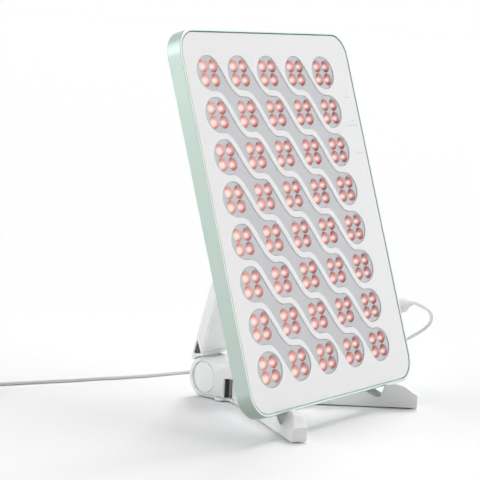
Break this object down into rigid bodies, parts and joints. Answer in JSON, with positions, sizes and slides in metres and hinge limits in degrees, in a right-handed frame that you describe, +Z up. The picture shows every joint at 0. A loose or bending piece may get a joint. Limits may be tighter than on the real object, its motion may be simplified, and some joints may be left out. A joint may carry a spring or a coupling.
{
  "type": "light therapy lamp",
  "caption": "Tabletop red light therapy panel with a rounded frame and domed lens clusters, on a folding stand with splayed legs and a rear support arm, with its lead and adapter.",
  "frame": {"origin": "on the table, under the middle of the lamp's box without its lead, plug and adapter", "axes": "+Z up, +X to the right seen from the front, +Y from the panel's face to the rear"},
  "size_m": [0.4757, 0.3515, 0.3148],
  "materials": {
    "white_shell": "moulded ABS, fine satin texture",
    "mint_frame": "pastel green satin anodised aluminium",
    "grey_reflector": "silver grey satin",
    "clear_lens": "clear moulded acrylic over red emitters",
    "led_board": "white solder mask",
    "green_board": "green solder mask",
    "aluminium_sheet": "mill finish sheet",
    "steel": "zinc plated",
    "dark_plastic": "dark grey moulded nylon",
    "rubber_pad": "soft grey rubber",
    "lead_white": "white flexible PVC",
    "adapter_shell": "white moulded polycarbonate",
    "plated_blade": "nickel plated brass"
  },
  "bodies": {
    "root": {"base_housing": "white_shell", "base_plate": "white_shell", "base_screw_left": "steel", "base_screw_right": "steel", "leg_pin_left": "steel", "leg_pin_right": "steel", "friction_washer_left": "steel", "friction_washer_right": "steel", "hinge_cap_left": "white_shell", "hinge_cap_right": "white_shell", "hinge_shaft": "steel", "base_pad_rear": "rubber_pad", "base_pad_front": "rubber_pad", "power_cord": "lead_white", "cord_coil": "lead_white", "coil_tie": "dark_plastic", "adapter_strain_relief": "lead_white", "adapter_body": "adapter_shell", "adapter_blade_left": "plated_blade", "adapter_blade_right": "plated_blade"},
    "left_leg": {"left_leg": "white_shell", "left_foot_pad": "rubber_pad"},
    "right_leg": {"right_leg": "white_shell", "right_foot_pad": "rubber_pad"},
    "panel": {"side_frame": "mint_frame", "front_fascia": "white_shell", "grey_reflector": "grey_reflector", "lens_row_1": "clear_lens", "lens_row_2": "clear_lens", "lens_row_3": "clear_lens", "lens_row_4": "clear_lens", "lens_row_5": "clear_lens", "lens_row_6": "clear_lens", "lens_row_7": "clear_lens", "lens_row_8": "clear_lens", "led_board_1": "led_board", "led_board_2": "led_board", "led_board_3": "led_board", "led_board_4": "led_board", "led_board_5": "led_board", "led_board_6": "led_board", "led_board_7": "led_board", "led_board_8": "led_board", "heat_spreader": "aluminium_sheet", "driver_board": "green_board", "touch_board": "green_board", "rear_cover": "white_shell", "cover_screw_1": "steel", "cover_screw_2": "steel", "cover_screw_3": "steel", "cover_screw_4": "steel", "dc_jack": "dark_plastic", "dc_plug": "lead_white", "plug_strain_relief": "lead_white"},
    "support_arm": {"support_arm": "white_shell", "arm_front_cover": "white_shell", "arm_insert_left": "dark_plastic", "arm_insert_right": "dark_plastic", "arm_pad": "rubber_pad"}
  },
  "joints": [
    {"name": "panel_lean", "type": "hinge", "parent": "root", "child": "panel", "pos_m": [0, -0.04804, 0.01489], "axis": [-1, 0, 0], "range_deg": [0, 12]},
    {"name": "arm_swing", "type": "hinge", "parent": "root", "child": "support_arm", "pos_m": [0, 0.06807, 0.0186], "axis": [-1, 0, 0], "range_deg": [0, 15.3]},
    {"name": "left_leg_fold", "type": "hinge", "parent": "root", "child": "left_leg", "pos_m": [-0.0068, 0.03528, 0.01], "axis": [0, 0, 1], "range_deg": [0, 35.5]},
    {"name": "right_leg_fold", "type": "hinge", "parent": "root", "child": "right_leg", "pos_m": [0.0068, 0.03528, 0.01], "axis": [0, 0, -1], "range_deg": [0, 35.5]}
  ],
  "couplings": [
    {"joint": "arm_swing", "follows": "panel_lean", "ratio": 1.27}
  ]
}
